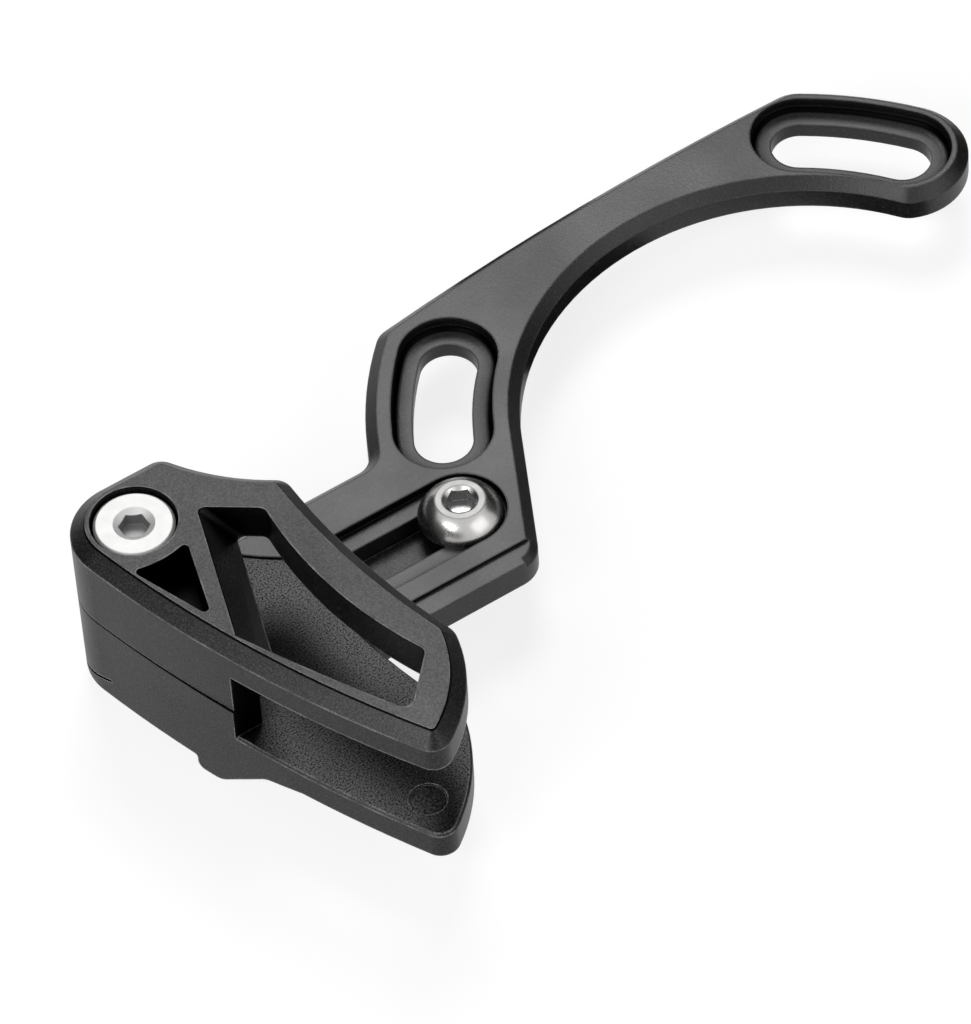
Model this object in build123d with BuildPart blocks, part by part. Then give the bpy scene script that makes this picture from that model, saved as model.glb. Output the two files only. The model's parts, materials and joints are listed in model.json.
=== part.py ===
"""Chain guide for a bicycle: a slotted back plate and a two-piece cage on a sliding tongue.

Lengths are in millimetres. The crank axis is the Z axis, Z = 0 is the back face that seats on
the frame's tabs, and X runs along the arm, so the cage slides towards -X.
"""
import os
from math import atan2, cos, degrees, radians, sin, sqrt

from build123d import *

os.makedirs("parts", exist_ok=True)

# Back plate
plate_t = 3.8
edge_bevel = 1.25
slot_ring_r = 38.1
slot_w = 6.5
seat_w = 11.1
seat_depth = 1.9
seat_round = 1.0
front_slot_mid = 44.6
front_slot_sweep = 17.6
rear_slot_mid = 143.8
rear_slot_sweep = 16.0
rim_w = 1.85
rear_rim_w = 2.85
hollow_web = 1.55
hollow_x = 1.0
hollow_y = -1.0
hollow_end = 152.5

# Arm of the back plate
arm_near_y = -2.7
arm_far_y = 19.0
arm_tip_x = -68.0
arm_gap = 0.25
track_y = 7.4
track_w = 10.1
track_depth = 1.05
track_start_x = -38.3
key_slot_w = 5.3
ledge_edge_y = -0.2
ledge_drop = 0.4
ledge_end_x = -36.6

# Cage, measured in the plan that both halves share
floor_z = plate_t + 0.2
floor_t = 3.5
chain_gap = 9.9
lid_t = 4.8
lid_bevel = 1.7
wall_t = 3.2
wall_end_y = -4.9
seam_up = 4.2
seam_bevel = 0.14
boss_x = -73.5
boss_y = 15.6
boss_r = 6.9
roof_a = 191.9
foot_z = -3.5
rib_drop = 1.85
rib_end_y = 0.8
skirt_end_y = -12.8
slit_h = 0.35
slit_depth = 0.7
slit_slope = -19.7
facet_run = 3.76
pocket_depth = 4.0
mark_r = 2.05
mark_depth = 0.15
corner_r = 2.1

# Sliding tongue under the arm
tongue_w = 13.0
tongue_t = 3.2
key_h = 0.5
key_play = 0.15

# Screws and nuts
m5_r = 2.5
m5_hole_r = 2.7
button_r = 4.75
button_h = 2.75
button_len = 6.0
button_flat_r = 2.68
button_sink_r = 2.04
cap_r = 4.4
cap_h = 5.0
cap_len = 16.0
cap_sink = 0.4
cap_sink_r = 2.27
cap_seat_r = 4.75
hex_af = 3.0
hex_depth = 1.9
socket_sink = 0.45
nut_af = 8.0
nut_h = 4.0
plate_nut_w = 9.0
plate_nut_h = 2.2

# Sizes and levels that follow from those above
hollow_r = slot_ring_r - seat_w / 2 - hollow_web
lid_under_z = floor_z + chain_gap
lid_top_z = lid_under_z + lid_t
seam_z = floor_z + seam_up
rib_z = foot_z - rib_drop
floor_under_z = floor_z - floor_t
cap_under_z = lid_top_z - cap_sink - cap_h
track_z = plate_t - track_depth


def on_ring(radius, angle, cx=0.0, cy=0.0):
    return (cx + radius * cos(radians(angle)), cy + radius * sin(radians(angle)))


def plate_profile():
    """Outline of the back plate, from the arm round the hollow and the front head."""
    front_a = front_slot_mid - front_slot_sweep / 2
    head_r = slot_ring_r + seat_w / 2 + rim_w
    cap = seat_w / 2 + rim_w
    cap_c = on_ring(slot_ring_r, front_a)
    # where the hollow's circle meets the rounded end of the front head
    dx, dy = cap_c[0] - hollow_x, cap_c[1] - hollow_y
    gap = sqrt(dx * dx + dy * dy)
    along = (gap * gap + hollow_r**2 - cap**2) / (2 * gap)
    off = sqrt(hollow_r**2 - along**2)
    meet = (
        hollow_x + along * dx / gap + off * dy / gap,
        hollow_y + along * dy / gap - off * dx / gap,
    )
    meet_a = degrees(atan2(meet[1] - hollow_y, meet[0] - hollow_x))
    cap_a = degrees(atan2(meet[1] - cap_c[1], meet[0] - cap_c[0]))
    leave = on_ring(hollow_r, hollow_end, hollow_x, hollow_y)
    slope = (-sin(radians(hollow_end)), cos(radians(hollow_end)))
    reach = (arm_near_y - leave[1]) / slope[1]
    toe = (leave[0] + reach * slope[0], arm_near_y)
    head_start = on_ring(head_r, front_slot_mid + front_slot_sweep / 2 + 2)
    rear_r = slot_ring_r + seat_w / 2 + rear_rim_w
    hip = (-sqrt(rear_r**2 - arm_far_y**2), arm_far_y)
    hip_a = degrees(atan2(hip[1], hip[0]))
    shoulder_a = rear_slot_mid - rear_slot_sweep / 2 - 3.5
    shoulder = on_ring(rear_r, shoulder_a)
    with BuildSketch() as profile:
        with BuildLine():
            Line((arm_tip_x, arm_near_y), toe)
            Line(toe, leave)
            CenterArc((hollow_x, hollow_y), hollow_r, meet_a, hollow_end - meet_a)
            CenterArc(cap_c, cap, cap_a, front_a - cap_a)
            CenterArc((0, 0), head_r, front_a, front_slot_sweep + 2)
            ThreePointArc(head_start, (-4.0, slot_ring_r - 1.1), shoulder)
            CenterArc((0, 0), rear_r, shoulder_a, hip_a - shoulder_a)
            Polyline(hip, (arm_tip_x, arm_far_y), (arm_tip_x, arm_near_y))
        make_face()
        for place, size in ((toe, 3.6), (meet, 3.0), (head_start, 4.0), (shoulder, 3.0), (hip, 2.4)):
            fillet(profile.vertices().sort_by_distance(place)[0], size)
    return profile.sketch


def cage_profile(tip, chin, hollow):
    """Outline of a cage half: a round boss, a bowed roof side and a hollow chainring side."""
    roof_top = on_ring(boss_r, roof_a, boss_x, boss_y)
    roof_way = (-sin(radians(roof_a)), cos(radians(roof_a)))
    brow = (-66.0, boss_y + boss_r)
    cheek = (-56.75, 12.2)
    with BuildSketch() as profile:
        with BuildLine():
            TangentArc(roof_top, tip, tangent=roof_way)
            CenterArc((boss_x, boss_y), boss_r, 90, roof_a - 90)
            Line((boss_x, boss_y + boss_r), brow)
            ThreePointArc(brow, (-62.2, 16.9), cheek)
            ThreePointArc(cheek, hollow, chin)
            ThreePointArc(chin, (-57.0, -23.0), tip)
        make_face()
        for place, size in ((tip, corner_r), (brow, corner_r), (cheek, corner_r), (chin, 3.0)):
            fillet(profile.vertices().sort_by_distance(place)[0], size)
    return profile.sketch


def wall_profile(outline, end_y):
    """The roof wall's band inside an outline, down to an end, with the solid boss at its top."""
    with BuildSketch() as profile:
        add(outline)
        offset(outline, amount=-wall_t, mode=Mode.SUBTRACT)
        with Locations((boss_x - 5.0, (end_y + boss_y) / 2)):
            Rectangle(24.0, boss_y - end_y, mode=Mode.INTERSECT)
        with Locations((boss_x, boss_y)):
            Circle(boss_r)
    return profile.sketch


lid_outline = cage_profile((-64.0, -28.7), (-53.6, -15.6), (-56.35, -1.0))
floor_outline = cage_profile((-64.4, -29.7), (-53.5, -15.8), (-56.62, -1.0))
plate_outline = plate_profile()

# Back plate: bevelled slab, two arc slots with sunk seats, and the open track in the arm
with BuildPart() as back_plate:
    with BuildSketch():
        add(plate_outline)
    extrude(amount=plate_t)
    rim = back_plate.faces().sort_by(Axis.Z)[-1].outer_wire().edges()
    chamfer(rim - rim.sort_by(Axis.X)[:1], edge_bevel)
    with BuildSketch(Plane.XY.offset(plate_t)):
        with Locations((arm_tip_x, arm_near_y - 5)):
            Rectangle(80, ledge_edge_y - arm_near_y + 5, align=(Align.CENTER, Align.MIN))
    extrude(amount=-ledge_drop, mode=Mode.SUBTRACT)
    with BuildSketch():
        add(plate_outline)
        with Locations((ledge_end_x, ledge_edge_y)):
            Rectangle(40, 10, align=(Align.MAX, Align.MAX), mode=Mode.INTERSECT)
    extrude(amount=plate_t - ledge_drop)
    with BuildSketch():
        offset(floor_outline, amount=arm_gap)
    extrude(amount=plate_t, mode=Mode.SUBTRACT)
    for middle, sweep in ((front_slot_mid, front_slot_sweep), (rear_slot_mid, rear_slot_sweep)):
        with BuildSketch(Plane.XY.offset(plate_t)):
            SlotArc(CenterArc((0, 0), slot_ring_r, middle - sweep / 2, sweep), seat_w)
        extrude(amount=-seat_depth, mode=Mode.SUBTRACT)
    seat_z = plate_t - seat_depth
    seat_edges = back_plate.edges().filter_by_position(Axis.Z, seat_z - 0.01, seat_z + 0.01)
    fillet(seat_edges, seat_round)
    for middle, sweep in ((front_slot_mid, front_slot_sweep), (rear_slot_mid, rear_slot_sweep)):
        with BuildSketch():
            SlotArc(CenterArc((0, 0), slot_ring_r, middle - sweep / 2, sweep), slot_w)
        extrude(amount=plate_t, mode=Mode.SUBTRACT)
    track_len = track_start_x - arm_tip_x + track_w
    with BuildSketch(Plane.XY.offset(track_z)):
        with Locations((track_start_x - track_len / 2, track_y)):
            SlotCenterToCenter(track_len, track_w)
    extrude(amount=track_depth, mode=Mode.SUBTRACT)
    with BuildSketch():
        with Locations((track_start_x - track_len / 2, track_y)):
            SlotCenterToCenter(track_len, key_slot_w)
    extrude(amount=plate_t, mode=Mode.SUBTRACT)
back_plate.part.label = "back_plate"
export_step(back_plate.part, "parts/back_plate.step")

# The lid's main window, as the tool that cuts it: its boss side slopes in towards the chain
with BuildPart() as window:
    with BuildSketch(Plane.XY.offset(lid_top_z)) as opening:
        with BuildLine():
            Line((-68.06, 14.12), (-61.3, 9.0))
            ThreePointArc((-61.3, 9.0), (-61.5, -3.5), (-58.1, -17.1))
            Line((-58.1, -17.1), (-63.8, -23.0))
            ThreePointArc((-63.8, -23.0), (-69.6, -11.6), (-73.69, -2.8))
            Line((-73.69, -2.8), (-68.06, 14.12))
        make_face()
        for place in ((-61.3, 9.0), (-58.1, -17.1), (-63.8, -23.0)):
            fillet(opening.vertices().sort_by_distance(place)[0], 1.1)
    extrude(amount=-lid_t)
    facet_way = (6.1, 17.3, 0)
    facet_out = (0.943, -0.3325, facet_run / lid_t)
    facet = Plane(origin=(-67.1, 13.4, lid_top_z), x_dir=facet_way, z_dir=facet_out)
    split(bisect_by=facet, keep=Keep.TOP)
    slope = window.faces().sort_by(Axis((-67.1, 13.4, lid_top_z), facet_out))[0]
    corners = slope.edges().sort_by(Axis((0, 0, 0), facet_way))
    fillet(corners[-1], 0.7)

# Outer cage half: bevelled lid with a window and a pocket, half of the roof wall and the boss
with BuildPart() as outer_cage:
    with BuildSketch(Plane.XY.offset(lid_under_z)):
        add(lid_outline)
    extrude(amount=lid_t)
    chamfer(outer_cage.faces().sort_by(Axis.Z)[-1].outer_wire().edges(), lid_bevel)
    add(window.part, mode=Mode.SUBTRACT)
    with BuildSketch(Plane.XY.offset(lid_top_z)) as pocket:
        with BuildLine():
            Line((-70.4, 10.0), (-73.8, -0.4))
            Line((-73.8, -0.4), (-77.4, 10.0))
            ThreePointArc((-77.4, 10.0), (-73.8, 9.4), (-70.4, 10.0))
        make_face()
        fillet(pocket.vertices(), 0.5)
    extrude(amount=-pocket_depth, mode=Mode.SUBTRACT)
    with BuildSketch(Plane.XY.offset(seam_z)):
        add(wall_profile(lid_outline, wall_end_y))
    extrude(amount=lid_under_z - seam_z)
    chamfer(outer_cage.faces().sort_by(Axis.Z)[0].outer_wire().edges(), seam_bevel)
    with BuildSketch(Plane.XY.offset(cap_under_z)):
        with Locations((boss_x, boss_y)):
            Circle(cap_seat_r)
    extrude(amount=lid_top_z - cap_under_z, mode=Mode.SUBTRACT)
    with BuildSketch(Plane.XY.offset(seam_z)):
        with Locations((boss_x, boss_y)):
            Circle(m5_hole_r)
    extrude(amount=cap_under_z - seam_z, mode=Mode.SUBTRACT)
outer_cage.part.label = "outer_cage"
export_step(outer_cage.part, "parts/outer_cage.step")

# The slit at the foot's round end, a thin slanting slab that is cut from the boss
with BuildPart() as slit:
    with BuildSketch(Plane.XY.offset(rib_z)):
        with Locations((boss_x, boss_y)):
            Circle(boss_r + 1)
            Circle(boss_r - slit_depth, mode=Mode.SUBTRACT)
    extrude(amount=floor_z - rib_z)
    with Locations(Location((boss_x - 10, boss_y + 1.4, foot_z + 1.15), (slit_slope, 0, 0))):
        Box(20, 9, slit_h, mode=Mode.INTERSECT)

# Inner cage half: chain floor, skirt and rib, the other half of the wall, the tongue and its key
with BuildPart() as inner_cage:
    with BuildSketch(Plane.XY.offset(floor_under_z)):
        add(floor_outline)
    extrude(amount=floor_t)
    chamfer(inner_cage.faces().sort_by(Axis.Z)[-1].outer_wire().edges(), 0.3)
    with BuildSketch(Plane.XY.offset(rib_z)):
        add(wall_profile(floor_outline, skirt_end_y))
    extrude(amount=floor_under_z - rib_z)
    with BuildSketch(Plane.YZ) as under:
        with BuildLine():
            Polyline(
                (30, rib_z - 5),
                (30, foot_z),
                (rib_end_y, foot_z),
                (rib_end_y, rib_z),
                (-2.2, rib_z),
                (-8.4, -0.45),
                (skirt_end_y - 0.2, floor_under_z),
                (skirt_end_y - 0.2, rib_z - 5),
                close=True,
            )
        make_face()
        for y, z, size in (
            (rib_end_y, foot_z, 0.4),
            (rib_end_y, rib_z, 0.9),
            (-2.2, rib_z, 2.4),
            (-8.4, -0.45, 3.0),
        ):
            fillet(under.vertices().sort_by_distance((y, z))[0], size)
    extrude(amount=-120, mode=Mode.SUBTRACT)
    add(slit.part, mode=Mode.SUBTRACT)
    with BuildSketch(Plane.XY.offset(floor_z)):
        with Locations((-63.1, -23.7)):
            Circle(mark_r)
    extrude(amount=-mark_depth, mode=Mode.SUBTRACT)
    with BuildSketch(Plane.XY.offset(floor_under_z)):
        add(wall_profile(floor_outline, wall_end_y))
    extrude(amount=seam_z - floor_under_z)
    with BuildSketch(Plane.XY.offset(-tongue_t)):
        with Locations(((track_start_x + boss_x + 5) / 2, track_y)):
            SlotCenterToCenter(track_start_x - boss_x - 5, tongue_w)
    extrude(amount=tongue_t)
    key_len = track_start_x + 57.5
    with BuildSketch():
        with Locations((track_start_x - key_len / 2, track_y)):
            SlotCenterToCenter(key_len, key_slot_w - 2 * key_play)
    extrude(amount=key_h)
    with BuildSketch(Plane.XY.offset(foot_z)):
        with Locations((boss_x, boss_y)):
            Circle(m5_hole_r)
    extrude(amount=seam_z - foot_z, mode=Mode.SUBTRACT)
    with BuildSketch(Plane.XY.offset(foot_z)):
        with Locations((boss_x, boss_y)):
            RegularPolygon((nut_af + 0.2) / 2, 6, major_radius=False)
    extrude(amount=nut_h + 0.3, mode=Mode.SUBTRACT)
    with BuildSketch(Plane.XY.offset(-tongue_t)):
        with Locations((track_start_x, track_y)):
            Circle(m5_hole_r)
    extrude(amount=tongue_t + key_h, mode=Mode.SUBTRACT)
    with BuildSketch(Plane.XY.offset(-tongue_t)):
        with Locations((track_start_x, track_y)):
            Rectangle(plate_nut_w + 0.2, plate_nut_w + 0.2)
    extrude(amount=plate_nut_h + 0.2, mode=Mode.SUBTRACT)
inner_cage.part.label = "inner_cage"
export_step(inner_cage.part, "parts/inner_cage.step")

# Height bolt: domed button head in the track, screwed into the plate nut behind the tongue
with BuildPart() as height_bolt:
    with BuildSketch(Plane.XZ.offset(-track_y)):
        with BuildLine():
            Polyline(
                (track_start_x, track_z - button_len),
                (track_start_x + m5_r - 0.4, track_z - button_len),
                (track_start_x + m5_r - 0.02, track_z - button_len + 0.4),
                (track_start_x + m5_r - 0.02, track_z),
                (track_start_x + button_r, track_z),
                (track_start_x + button_r, track_z + 0.35),
            )
            ThreePointArc(
                (track_start_x + button_r, track_z + 0.35),
                (track_start_x + 3.9, track_z + 1.83),
                (track_start_x + button_flat_r, track_z + button_h),
            )
            Polyline(
                (track_start_x + button_flat_r, track_z + button_h),
                (track_start_x, track_z + button_h),
                (track_start_x, track_z - button_len),
            )
        make_face()
    revolve(axis=Axis((track_start_x, track_y, 0), (0, 0, 1)))
    with BuildSketch(Plane.XY.offset(track_z + button_h)):
        with Locations((track_start_x, track_y)):
            RegularPolygon(hex_af / 2, 6, major_radius=False, rotation=30)
    extrude(amount=-hex_depth, mode=Mode.SUBTRACT)
    with Locations((track_start_x, track_y, track_z + button_h - socket_sink / 2)):
        Cone(hex_af / 2, button_sink_r, socket_sink, mode=Mode.SUBTRACT)
height_bolt.part.label = "height_bolt"
export_step(height_bolt.part, "parts/height_bolt.step")

# Plate nut: square, let into the back of the tongue
with BuildPart() as height_nut:
    with BuildSketch(Plane.XY.offset(-tongue_t + 0.2)):
        with Locations((track_start_x, track_y)):
            Rectangle(plate_nut_w, plate_nut_w)
            Circle(m5_r, mode=Mode.SUBTRACT)
    extrude(amount=plate_nut_h)
    chamfer(height_nut.edges().filter_by(Axis.Z), 0.5)
height_nut.part.label = "height_nut"
export_step(height_nut.part, "parts/height_nut.step")

# Cage screw: cap head sunk in the lid, through both bosses into the hexagon nut
with BuildPart() as cage_screw:
    with BuildSketch(Plane.XY.offset(cap_under_z)):
        with Locations((boss_x, boss_y)):
            Circle(cap_r)
    extrude(amount=cap_h)
    chamfer(cage_screw.edges().group_by(Axis.Z)[-1], 0.3)
    with BuildSketch(Plane.XY.offset(cap_under_z)):
        with Locations((boss_x, boss_y)):
            Circle(m5_r - 0.02)
    extrude(amount=-cap_len)
    chamfer(cage_screw.edges().group_by(Axis.Z)[0], 0.4)
    with BuildSketch(Plane.XY.offset(cap_under_z + cap_h)):
        with Locations((boss_x, boss_y)):
            RegularPolygon(hex_af / 2, 6, major_radius=False, rotation=30)
    extrude(amount=-hex_depth, mode=Mode.SUBTRACT)
    with Locations((boss_x, boss_y, cap_under_z + cap_h - socket_sink / 2)):
        Cone(hex_af / 2, cap_sink_r, socket_sink, mode=Mode.SUBTRACT)
cage_screw.part.label = "cage_screw"
export_step(cage_screw.part, "parts/cage_screw.step")

# Hexagon nut in the foot under the boss
with BuildPart() as cage_nut:
    with BuildSketch(Plane.XY.offset(foot_z + 0.2)):
        with Locations((boss_x, boss_y)):
            RegularPolygon(nut_af / 2, 6, major_radius=False)
    extrude(amount=nut_h)
    corner = nut_af / 2 / cos(radians(30))
    with BuildSketch(Plane.XZ.offset(-boss_y)):
        with Locations((boss_x, foot_z + 0.2)):
            Polygon(
                (0, 0),
                (corner * 0.86, 0),
                (corner, corner * 0.08),
                (corner, nut_h - corner * 0.08),
                (corner * 0.86, nut_h),
                (0, nut_h),
                align=None,
            )
    revolve(axis=Axis((boss_x, boss_y, 0), (0, 0, 1)), mode=Mode.INTERSECT)
    with BuildSketch(Plane.XY.offset(foot_z + 0.2)):
        with Locations((boss_x, boss_y)):
            Circle(m5_r)
    extrude(amount=nut_h, mode=Mode.SUBTRACT)
cage_nut.part.label = "cage_nut"
export_step(cage_nut.part, "parts/cage_nut.step")
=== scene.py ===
"""Looks of a bicycle chain guide: a black anodised back plate and a moulded two-piece cage.

Everything is in metres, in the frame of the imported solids: the crank axis is the Z axis, the
plate's back face is at Z = 0, and the arm runs along X with the cage at its -X end.
"""
import json

import bpy
from mathutils import Matrix, Vector

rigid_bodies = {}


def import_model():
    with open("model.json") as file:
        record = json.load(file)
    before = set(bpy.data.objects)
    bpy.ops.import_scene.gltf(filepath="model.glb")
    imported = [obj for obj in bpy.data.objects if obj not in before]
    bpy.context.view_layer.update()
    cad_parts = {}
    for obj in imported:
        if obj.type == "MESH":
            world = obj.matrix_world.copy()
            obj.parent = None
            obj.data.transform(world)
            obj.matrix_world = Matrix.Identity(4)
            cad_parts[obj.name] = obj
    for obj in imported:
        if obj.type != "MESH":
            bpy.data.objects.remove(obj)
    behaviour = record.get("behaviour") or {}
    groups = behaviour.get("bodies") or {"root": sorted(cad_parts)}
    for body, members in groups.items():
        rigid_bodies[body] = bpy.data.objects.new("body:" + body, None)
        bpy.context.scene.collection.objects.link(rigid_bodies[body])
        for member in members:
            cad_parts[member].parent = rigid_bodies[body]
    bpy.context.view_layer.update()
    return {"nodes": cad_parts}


for leftover in list(bpy.data.objects):
    bpy.data.objects.remove(leftover)
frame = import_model()

# Back plate: milled from aluminium bar, blasted, then anodised black. Two arc slots with sunk
# seats take the frame's screws, and the open track in its arm guides the cage's tongue.
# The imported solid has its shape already, so only its finish is made here.
seat_z = 0.0019
seat_slack = 0.00002
seat_foot = 0.00062
foot_flat, foot_leaning = 0.98, 0.86
foot_upright, foot_steep = 0.12, 0.25
plate_grain = 4600.0
plate_edge = 0.00035
plate_glint_share = 0.45
plate_reach = 0.003
plate_smooth = 0.34
plate_coarse = 0.42
plate_gloss = 0.34
plate_pitting = 0.6
plate_pit_depth = 0.00004
plate_black = (0.004, 0.004, 0.0042, 1.0)
plate_grey = (0.009, 0.009, 0.0094, 1.0)
plate_speck = (0.030, 0.030, 0.031, 1.0)
# Edge colour for wear and a painted highlight.
plate_worn_glint = (0.20, 0.20, 0.205, 1.0)
# Painted shade colour for the seat rounds and corners.
plate_painted_shade = (0.0015, 0.0015, 0.0015, 1.0)


def put(tree, kind, inputs, **settings):
    """Adds a node; an input is a value, or the socket that feeds it."""
    made = tree.nodes.new(kind)
    for key, value in settings.items():
        setattr(made, key, value)
    for key, value in inputs.items():
        if isinstance(value, bpy.types.NodeSocket):
            tree.links.new(value, made.inputs[key])
        else:
            made.inputs[key].default_value = value
    return made


def maths(tree, operation, *terms):
    """Works on two or three terms, each a value or a socket, and returns the result's socket."""
    return put(tree, "ShaderNodeMath", dict(enumerate(terms)), operation=operation).outputs[0]


def ramp(tree, value, low, high, low_out=0.0, high_out=1.0):
    """Stretches a value from one span to another, and holds it at the ends."""
    return put(tree, "ShaderNodeMapRange", {
        "Value": value, "From Min": low, "From Max": high,
        "To Min": low_out, "To Max": high_out}).outputs[0]


def noise(tree, place, scale, detail):
    """Smooth random values over the surface."""
    return put(tree, "ShaderNodeTexNoise", {
        "Vector": place, "Scale": scale, "Detail": detail}).outputs["Fac"]


def apart(tree, vector):
    """The X, Y and Z sockets of a place or a direction."""
    return put(tree, "ShaderNodeSeparateXYZ", {"Vector": vector}).outputs


def new_group(name, inputs, outputs):
    """An empty shader group with those sockets, and its inner input and output nodes."""
    group = bpy.data.node_groups.new(name, "ShaderNodeTree")
    for label, kind, value in inputs:
        made = group.interface.new_socket(label, in_out="INPUT", socket_type=kind)
        if value is not None:
            made.default_value = value
    for label, kind in outputs:
        group.interface.new_socket(label, in_out="OUTPUT", socket_type=kind)
    return group, group.nodes.new("NodeGroupInput"), group.nodes.new("NodeGroupOutput")


def blasted_grain_group():
    """Fine pits and specks, as bead blasting or a spark-eroded mould leaves them."""
    speck_low, speck_high = 0.54, 0.70
    pit_low, pit_high = 0.52, 0.36
    cloud_scale = 85.0
    fine, broad = 2.0, 3.0
    group, given, out = new_group(
        "blasted_grain",
        [("Vector", "NodeSocketVector", None), ("Scale", "NodeSocketFloat", 4000.0)],
        [("Height", "NodeSocketFloat"), ("Speck", "NodeSocketFloat"),
         ("Pit", "NodeSocketFloat"), ("Cloud", "NodeSocketFloat")],
    )
    height = noise(group, given.outputs["Vector"], given.outputs["Scale"], fine)
    found = {
        "Height": height,
        "Speck": ramp(group, height, speck_low, speck_high),
        "Pit": ramp(group, height, pit_low, pit_high),
        "Cloud": noise(group, given.outputs["Vector"], cloud_scale, broad),
    }
    for label, socket in found.items():
        group.links.new(socket, out.inputs[label])
    return group


def worn_edge_glint_group():
    """A small round on every edge, and a broken mask of its worn edges and painted highlights."""
    edge_low, edge_high = 0.99, 0.92
    patch_scale, patch_detail = 420.0, 3.0
    patch_low, patch_high = 0.35, 0.65
    least_wear_glint = 0.35
    group, given, out = new_group(
        "worn_edge_glint",
        [("Vector", "NodeSocketVector", None), ("Radius", "NodeSocketFloat", 0.0002)],
        [("Edge", "NodeSocketFloat"), ("Normal", "NodeSocketVector")],
    )
    round_off = put(group, "ShaderNodeBevel", {"Radius": given.outputs["Radius"]}, samples=6)
    facing = group.nodes.new("ShaderNodeNewGeometry")
    turn = put(group, "ShaderNodeVectorMath", {
        0: round_off.outputs["Normal"], 1: facing.outputs["Normal"]}, operation="DOT_PRODUCT")
    edge = ramp(group, turn.outputs["Value"], edge_low, edge_high)
    patchy = noise(group, given.outputs["Vector"], patch_scale, patch_detail)
    wear_and_glint_patches = ramp(group, patchy, patch_low, patch_high, least_wear_glint, 1.0)
    group.links.new(maths(group, "MULTIPLY", edge, wear_and_glint_patches), out.inputs["Edge"])
    group.links.new(round_off.outputs["Normal"], out.inputs["Normal"])
    return group


def painted_corner_shade_group():
    """A mask of painted shade in the inner corners and pockets that light hardly reaches."""
    open_share, shut_share = 0.92, 0.55
    group, given, out = new_group(
        "painted_corner_shade",
        [("Reach", "NodeSocketFloat", 0.003)],
        [("Corner_Shade", "NodeSocketFloat")],
    )
    open_sky = put(group, "ShaderNodeAmbientOcclusion", {"Distance": given.outputs["Reach"]},
                   samples=12, only_local=True)
    # Painted shade: the less open sky a point sees, the darker it is painted.
    dark_mask = ramp(group, open_sky.outputs["AO"], open_share, shut_share)
    group.links.new(dark_mask, out.inputs["Corner_Shade"])
    return group


blasted_grain = blasted_grain_group()
worn_edge_glint = worn_edge_glint_group()
painted_corner_shade = painted_corner_shade_group()


def new_finish(name):
    """A bare material: its tree, its Principled shader and the object's own coordinates."""
    finish = bpy.data.materials.new(name)
    finish.use_nodes = True
    tree = finish.node_tree
    tree.nodes.clear()
    shader = tree.nodes.new("ShaderNodeBsdfPrincipled")
    output = tree.nodes.new("ShaderNodeOutputMaterial")
    tree.links.new(shader.outputs["BSDF"], output.inputs["Surface"])
    place = tree.nodes.new("ShaderNodeTexCoord").outputs["Object"]
    return finish, tree, shader, place


def blend_colour(tree, share, first, second):
    """Mixes two colours, each a value or a socket, and returns the result's socket."""
    mix = put(tree, "ShaderNodeMix", {0: share, 6: first, 7: second}, data_type="RGBA")
    return mix.outputs[2]


def grained(tree, place, grain_scale, edge_radius, colours, glint_share):
    """Clouded, specked colour with worn edges and a painted highlight along them; also returns the
    grain and the edge groups.
    """
    black, grey, speck, glint_colour = colours
    grain = put(tree, "ShaderNodeGroup", {"Vector": place, "Scale": grain_scale},
                node_tree=blasted_grain)
    edge_node = put(tree, "ShaderNodeGroup", {"Vector": place, "Radius": edge_radius},
              node_tree=worn_edge_glint)
    colour = blend_colour(tree, grain.outputs["Cloud"], black, grey)
    colour = blend_colour(tree, grain.outputs["Speck"], colour, speck)
    # Worn edges and painted highlight: the edge mask lightens the colour.
    share = maths(tree, "MULTIPLY", edge_node.outputs["Edge"], glint_share)
    return blend_colour(tree, share, colour, glint_colour), grain, edge_node


def corner_shade(tree, reach):
    """The mask of painted shade in inner corners, counted as far as the reach."""
    return put(tree, "ShaderNodeGroup", {"Reach": reach},
               node_tree=painted_corner_shade).outputs["Corner_Shade"]


def surface_bump(tree, shader, strength, depth, height, edge_node):
    """Fine relief on top of the rounded edges."""
    relief = put(tree, "ShaderNodeBump", {
        "Strength": strength, "Distance": depth, "Height": height,
        "Normal": edge_node.outputs["Normal"]})
    tree.links.new(relief.outputs["Normal"], shader.inputs["Normal"])


def satin(tree, clouds, smooth, coarse):
    """Roughness that drifts between two values with the clouds in a finish."""
    thin, thick = 0.3, 0.7
    return ramp(tree, clouds, thin, thick, smooth, coarse)


def dress(node, finish):
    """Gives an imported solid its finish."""
    piece = frame["nodes"][node]
    piece.data.materials.clear()
    piece.data.materials.append(finish)


anodised, tree, shader, place = new_finish("anodised_plate")
colour, grain, edge_node = grained(
    tree, place, plate_grain, plate_edge,
    (plate_black, plate_grey, plate_speck, plate_worn_glint), plate_glint_share)
# Painted shade: the cutter's small round at the foot of each seat, which sees only the seat's own
# wall, and the plate's inner corners are painted near black and made metallic.
level = apart(tree, place)["Z"]
facing = tree.nodes.new("ShaderNodeNewGeometry").outputs["Normal"]
upright = apart(tree, facing)["Z"]
foot = maths(tree, "GREATER_THAN", level, seat_z - seat_slack)
for band in (maths(tree, "LESS_THAN", level, seat_z + seat_foot),
             ramp(tree, upright, foot_flat, foot_leaning),
             ramp(tree, upright, foot_upright, foot_steep)):
    foot = maths(tree, "MULTIPLY", foot, band)
darker = maths(tree, "MAXIMUM", foot, corner_shade(tree, plate_reach))
tree.links.new(blend_colour(tree, darker, colour, plate_painted_shade), shader.inputs["Base Color"])
tree.links.new(darker, shader.inputs["Metallic"])
tree.links.new(satin(tree, grain.outputs["Cloud"], plate_smooth, plate_coarse),
               shader.inputs["Roughness"])
shader.inputs["Specular IOR Level"].default_value = plate_gloss
surface_bump(tree, shader, plate_pitting, plate_pit_depth, grain.outputs["Height"], edge_node)
dress("back_plate", anodised)
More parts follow.
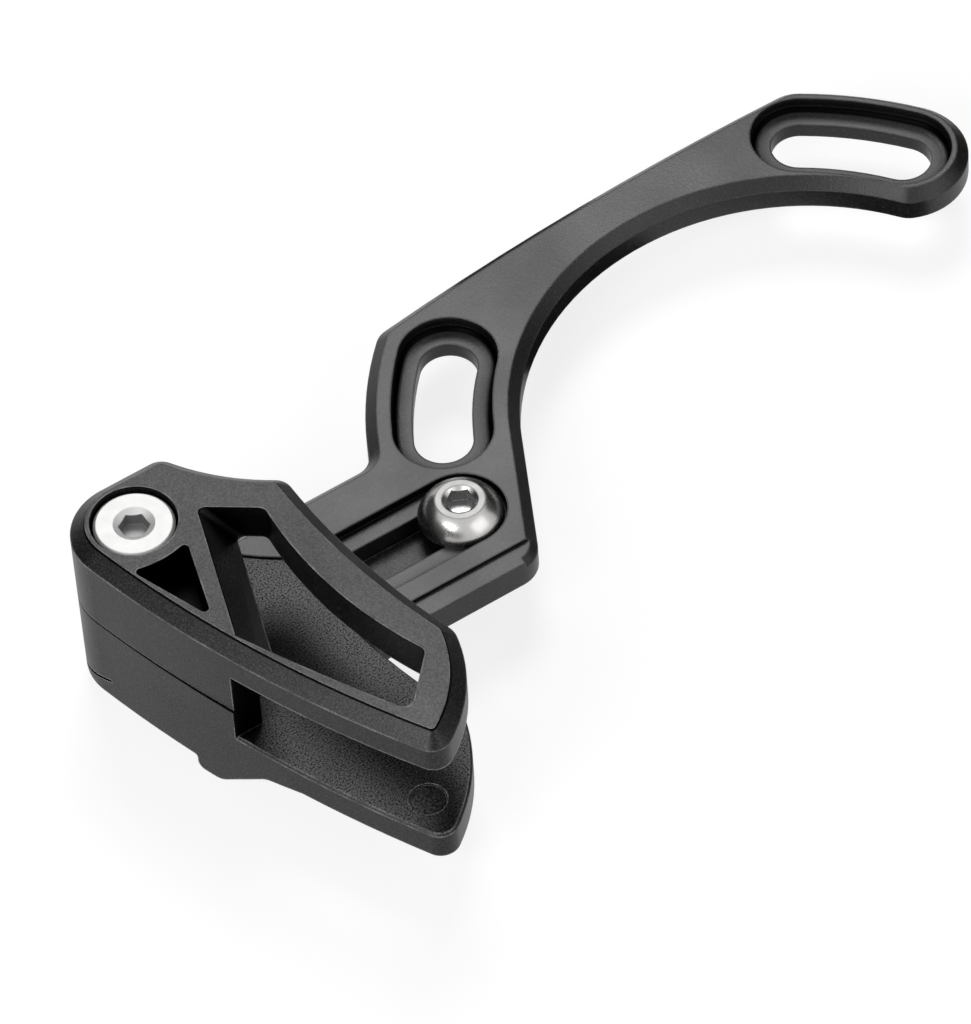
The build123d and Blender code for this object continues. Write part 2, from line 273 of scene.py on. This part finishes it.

# Inner cage half: moulded in black glass-filled nylon, with the chain's floor, half of the roof
# wall, the foot under it and the tongue that slides behind the arm. Its seam with the lid, the end
# of its wall and its inner corners are painted near black as shade, and its floor is the most
# coarsely spark-eroded face.
tongue_top_z = 0.003
tread_leaning, tread_flat = 0.7, 0.95
seam_z = 0.0082
seam_half = 0.00017
wall_end_y = -0.0049
wall_end_half = 0.00012
square_on = -0.9
cage_grain = 5000.0
cage_glint_share = 0.9
cage_smooth = 0.36
cage_coarse = 0.44
cage_gloss = 0.27
cage_pitting = 0.8
cage_pit_depth = 0.00003
cage_black = (0.003, 0.003, 0.0031, 1.0)
cage_grey = (0.007, 0.007, 0.0072, 1.0)
cage_speck = (0.030, 0.030, 0.030, 1.0)
# Edge colour for wear and a painted highlight.
cage_worn_glint = (0.46, 0.46, 0.46, 1.0)
# Colour of the eroded pits, which are real grain, and of the painted shade.
cage_pit_and_shade = (0.0015, 0.0015, 0.0015, 1.0)


def moulded_finish(name, edge_radius, reach, wall_pits, floor_pits):
    """Black nylon out of a spark-eroded mould; returns what a piece may still add to."""
    finish, tree, shader, place = new_finish(name)
    colour, grain, edge_node = grained(
        tree, place, cage_grain, edge_radius,
        (cage_black, cage_grey, cage_speck, cage_worn_glint), cage_glint_share)
    spot = apart(tree, place)
    facing = tree.nodes.new("ShaderNodeNewGeometry").outputs["Normal"]
    aim = apart(tree, facing)
    above = maths(tree, "GREATER_THAN", spot["Z"], tongue_top_z)
    tread = maths(tree, "MULTIPLY", above, ramp(tree, aim["Z"], tread_leaning, tread_flat))
    eroded = ramp(tree, tread, 0.0, 1.0, wall_pits, floor_pits)
    pits = maths(tree, "MULTIPLY", grain.outputs["Pit"], eroded)
    # Painted shade: the seam, the square end of the wall and the inner corners are painted near
    # black, along with the eroded pits, which are real grain.
    seam_shade = maths(tree, "COMPARE", spot["Z"], seam_z, seam_half)
    wall_end_shade = maths(tree, "MULTIPLY",
                     maths(tree, "COMPARE", spot["Y"], wall_end_y, wall_end_half),
                     maths(tree, "LESS_THAN", aim["Y"], square_on))
    dark_mask = corner_shade(tree, reach)
    for shade in (pits, seam_shade, wall_end_shade):
        dark_mask = maths(tree, "MAXIMUM", dark_mask, shade)
    colour = blend_colour(tree, dark_mask, colour, cage_pit_and_shade)
    tree.links.new(satin(tree, grain.outputs["Cloud"], cage_smooth, cage_coarse),
                   shader.inputs["Roughness"])
    shader.inputs["Specular IOR Level"].default_value = cage_gloss
    surface_bump(tree, shader, cage_pitting, cage_pit_depth, grain.outputs["Height"], edge_node)
    return finish, tree, shader, place, colour, dark_mask


moulded, tree, shader, place, colour, dark_mask = moulded_finish(
    "moulded_inner_half", edge_radius=0.0003, reach=0.006, wall_pits=0.35, floor_pits=1.0)
tree.links.new(colour, shader.inputs["Base Color"])
tree.links.new(dark_mask, shader.inputs["Metallic"])
dress("inner_cage", moulded)

# Outer cage half: the same nylon, a bevelled lid over the chain with a window, a blind pocket and
# the screw's boss. A thin band round the top of its bevel, where two parts of the mould met, is
# painted black as the shade of a fine parting groove.
lid_top_z = 0.0187
groove_shade_low = lid_top_z - 0.0002
groove_shade_high = lid_top_z - 0.00002
groove_shade_black = (0.002, 0.002, 0.002, 1.0)

lid, tree, shader, place, colour, dark_mask = moulded_finish(
    "moulded_outer_half", edge_radius=0.00036, reach=0.006, wall_pits=0.35, floor_pits=0.3)
level = apart(tree, place)["Z"]
# Painted shade: the band of the parting groove is painted black and metallic.
groove_shade = maths(tree, "MULTIPLY",
             maths(tree, "GREATER_THAN", level, groove_shade_low),
             maths(tree, "LESS_THAN", level, groove_shade_high))
tree.links.new(blend_colour(tree, groove_shade, colour, groove_shade_black), shader.inputs["Base Color"])
tree.links.new(maths(tree, "MAXIMUM", groove_shade, dark_mask), shader.inputs["Metallic"])
dress("outer_cage", lid)

# Cage screw and its nut: a bright zinc-plated cap screw, sunk in the lid's boss, that clamps
# the two halves on a hexagon nut in the foot. Its face was turned, then satin plated.
screw_x = -0.0735
screw_y = 0.0156
metal_edge = 0.00015
metal_reach = 0.003
metal_clouds, metal_cloud_detail = 700.0, 3.0
turning_mark = 0.15
turning_depth = 0.00001
turning_detail = 2.0
screw_rings = 9000.0
screw_smooth = 0.585
screw_coarse = 0.61
nut_rings = 7000.0
nut_smooth = 0.34
nut_coarse = 0.46
screw_bright = (0.47, 0.47, 0.465, 1.0)
screw_dull = (0.45, 0.45, 0.445, 1.0)
nut_pale = (0.55, 0.545, 0.54, 1.0)
socket_shade = (0.26, 0.26, 0.26, 1.0)


def turned_finish(name, centre, bright, darker, smooth, coarse, ring_scale, flat=None):
    """Turned metal: fine rings about an axis along Z, faint clouds in the plating, painted shade
    in its socket, and a dulled flat where one is given by its low and high level, its colour and
    its roughness."""
    finish, tree, shader, place = new_finish(name)
    shader.inputs["Metallic"].default_value = 1.0
    centred = put(tree, "ShaderNodeMapping", {
        "Vector": place, "Location": (-centre[0], -centre[1], 0.0)})
    across = put(tree, "ShaderNodeVectorMath", {0: centred.outputs[0], 1: (1.0, 1.0, 0.0)},
                 operation="MULTIPLY")
    out_from = put(tree, "ShaderNodeVectorMath", {0: across.outputs[0]}, operation="LENGTH")
    rings = put(tree, "ShaderNodeTexNoise", {
        "W": out_from.outputs["Value"], "Scale": ring_scale, "Detail": turning_detail},
        noise_dimensions="1D")
    clouds = noise(tree, place, metal_clouds, metal_cloud_detail)
    edge_node = put(tree, "ShaderNodeGroup", {"Vector": place, "Radius": metal_edge},
              node_tree=worn_edge_glint)
    colour = blend_colour(tree, clouds, bright, darker)
    # Painted shade: the socket and other inner corners are painted darker.
    colour = blend_colour(tree, corner_shade(tree, metal_reach), colour, socket_shade)
    rough = satin(tree, clouds, smooth, coarse)
    if flat is not None:
        flat_low, flat_high, flat_colour, flat_rough = flat
        keyed = ramp(tree, apart(tree, place)["Z"], flat_low, flat_high)
        colour = blend_colour(tree, keyed, colour, flat_colour)
        rough = maths(tree, "MULTIPLY_ADD", keyed, flat_rough, rough)
    tree.links.new(colour, shader.inputs["Base Color"])
    tree.links.new(rough, shader.inputs["Roughness"])
    surface_bump(tree, shader, turning_mark, turning_depth, rings.outputs["Fac"], edge_node)
    return finish


plated_screw = turned_finish("plated_screw", (screw_x, screw_y), screw_bright, screw_dull,
                             screw_smooth, screw_coarse, screw_rings)
plated_nut = turned_finish("plated_nut", (screw_x, screw_y), screw_dull, nut_pale,
                           nut_smooth, nut_coarse, nut_rings)
dress("cage_screw", plated_screw)
dress("cage_nut", plated_nut)

# Height bolt and plate nut: a polished stainless button head in the track, screwed into a square
# nut let into the back of the tongue. Slackened, it lets the cage slide along the arm.
# The flat round its socket has been dulled by the key.
bolt_x = -0.0383
bolt_y = 0.0074
bolt_top_z = 0.0055
bolt_rings = 6000.0
bolt_smooth = 0.24
bolt_coarse = 0.31
bolt_bright = (0.52, 0.515, 0.505, 1.0)
bolt_dull = (0.42, 0.415, 0.405, 1.0)
flat_low = bolt_top_z - 0.00012
flat_high = bolt_top_z - 0.00004
flat_dull = (0.30, 0.298, 0.293, 1.0)
flat_rough = 0.3

polished_bolt = turned_finish("polished_bolt", (bolt_x, bolt_y), bolt_bright, bolt_dull,
                              bolt_smooth, bolt_coarse, bolt_rings,
                              flat=(flat_low, flat_high, flat_dull, flat_rough))
plated_plate_nut = turned_finish("plated_plate_nut", (bolt_x, bolt_y), screw_dull, nut_pale,
                                 nut_smooth, nut_coarse, nut_rings)
dress("height_bolt", polished_bolt)
dress("height_nut", plated_plate_nut)

# Floor: a plain white sheet just under the rib of the foot, the lowest point of the guide. Eye and
# mirror rays see part of it as plain white, and the rest keeps the guide's soft shadow.
floor_z = -0.0054
floor_half = 3.0
floor_glow = 0.75
floor_white = 1.1
floor_rough = 0.8
floor_pale = (0.92, 0.92, 0.92, 1.0)
plain_white = (1.0, 1.0, 1.0, 1.0)


def seen_directly(tree):
    """One for rays from the eye, off metal or through glass, and nought for lighting rays."""
    path = tree.nodes.new("ShaderNodeLightPath").outputs
    eye = maths(tree, "MAXIMUM", path["Is Camera Ray"], path["Is Glossy Ray"])
    return maths(tree, "MAXIMUM", eye, path["Is Transmission Ray"])


paper = bpy.data.meshes.new("pale_floor")
paper.from_pydata(
    [(-floor_half, -floor_half, floor_z), (floor_half, -floor_half, floor_z),
     (floor_half, floor_half, floor_z), (-floor_half, floor_half, floor_z)], [], [(0, 1, 2, 3)])
floor = bpy.data.objects.new("pale_floor", paper)
bpy.context.scene.collection.objects.link(floor)
sheet, tree, shader, place = new_finish("pale_floor")
shader.inputs["Base Color"].default_value = floor_pale
shader.inputs["Roughness"].default_value = floor_rough
shader.inputs["Specular IOR Level"].default_value = 0.0
white = put(tree, "ShaderNodeEmission", {"Color": plain_white, "Strength": floor_white})
share = maths(tree, "MULTIPLY", seen_directly(tree), floor_glow)
lit = put(tree, "ShaderNodeMixShader", {0: share, 1: shader.outputs[0], 2: white.outputs[0]})
sheet_end = [made for made in tree.nodes if made.type == "OUTPUT_MATERIAL"][0]
tree.links.new(lit.outputs[0], sheet_end.inputs["Surface"])
paper.materials.append(sheet)

# Studio: one soft box above and behind to the right, a broad one at the left, a weak broad one in
# front, and a faint even fill from a white room. Black cards on the floor and standing behind the
# guide, left and right, give its bevels and the bolt's head something dark to mirror.
middle = Vector((-0.035, 0.003, 0.003))
lamp_distance = 0.9
room_fill = 0.03
card_black = (0.003, 0.003, 0.003, 1.0)
card_z = floor_z + 0.0003
card_top = 0.24


def lamp(name, direction, size, power):
    """A square lamp that stands off in a direction from the guide and faces it."""
    light = bpy.data.lights.new(name, "AREA")
    light.shape = "SQUARE"
    light.size = size
    light.energy = power
    stand = bpy.data.objects.new(name, light)
    stand.location = middle + Vector(direction).normalized() * lamp_distance
    stand.rotation_euler = (middle - stand.location).to_track_quat("-Z", "Y").to_euler()
    bpy.context.scene.collection.objects.link(stand)


def dark_card(name, corners):
    """A black card that only mirror rays see, as a photographer stands them round bright metal."""
    card = bpy.data.meshes.new(name)
    card.from_pydata(corners, [], [(0, 1, 2, 3)])
    black, tree, shader, place = new_finish(name)
    shader.inputs["Base Color"].default_value = card_black
    shader.inputs["Specular IOR Level"].default_value = 0.0
    card.materials.append(black)
    stand = bpy.data.objects.new(name, card)
    bpy.context.scene.collection.objects.link(stand)
    stand.visible_camera = False
    stand.visible_diffuse = False
    stand.visible_transmission = False
    stand.visible_shadow = False


lamp("soft_box", direction=(0.31, 0.52, 0.80), size=0.36, power=4.3)
lamp("side_box", direction=(-0.79, -0.24, 0.56), size=0.5, power=5.0)
lamp("front_box", direction=(0.33, -0.74, 0.53), size=0.6, power=1.6)
dark_card("floor_card", [
    (-0.016, 0.006, card_z), (0.004, 0.006, card_z),
    (0.004, 0.30, card_z), (-0.016, 0.30, card_z)])
dark_card("right_card", [
    (0.30, -0.12, card_z), (0.12, 0.36, card_z),
    (0.12, 0.36, card_top), (0.30, -0.12, card_top)])
dark_card("far_floor_card", [
    (0.055, -0.12, card_z), (0.30, -0.12, card_z),
    (0.12, 0.36, card_z), (0.055, 0.36, card_z)])
dark_card("hollow_card", [
    (0.004, -0.012, card_z), (0.03, -0.012, card_z),
    (0.03, 0.020, card_z), (0.004, 0.020, card_z)])
dark_card("left_card", [
    (-0.45, 0.12, card_z), (-0.05, 0.30, card_z),
    (-0.05, 0.30, card_top), (-0.45, 0.12, card_top)])

room = bpy.data.worlds.new("white_room")
room.use_nodes = True
tree = room.node_tree
sky = tree.nodes["Background"]
sky.inputs["Color"].default_value = plain_white
tree.links.new(ramp(tree, seen_directly(tree), 0.0, 1.0, room_fill, 1.0), sky.inputs["Strength"])
bpy.context.scene.world = room

# Camera: a long lens at about 50 degrees above the plate, held a little askew, as the photograph
# was taken. Its focal length is given in pixels of the image's height.
image_height = 1024.0
focal_px = 8050.0
camera_at = Vector((-0.3194, -0.4750, 0.6689))
camera_roll = -0.07383
look = Vector((0.3261, 0.5536, -0.7663)).normalized()
level_right = Vector((look.y, -look.x, 0.0)).normalized()
level_up = level_right.cross(look)
roll = Matrix.Rotation(camera_roll, 3, -look)
right = roll @ level_right
up = roll @ level_up

view = bpy.data.cameras.new("camera")
view.sensor_fit = "VERTICAL"
view.sensor_height = 36.0
view.lens = focal_px / image_height * view.sensor_height
view.clip_start = 0.05
view.clip_end = 20.0
camera = bpy.data.objects.new("camera", view)
turned = Matrix((right, up, -look)).transposed()
camera.matrix_world = Matrix.Translation(camera_at) @ turned.to_4x4()
bpy.context.scene.collection.objects.link(camera)
bpy.context.scene.camera = camera
bpy.context.scene.view_settings.view_transform = "Standard"
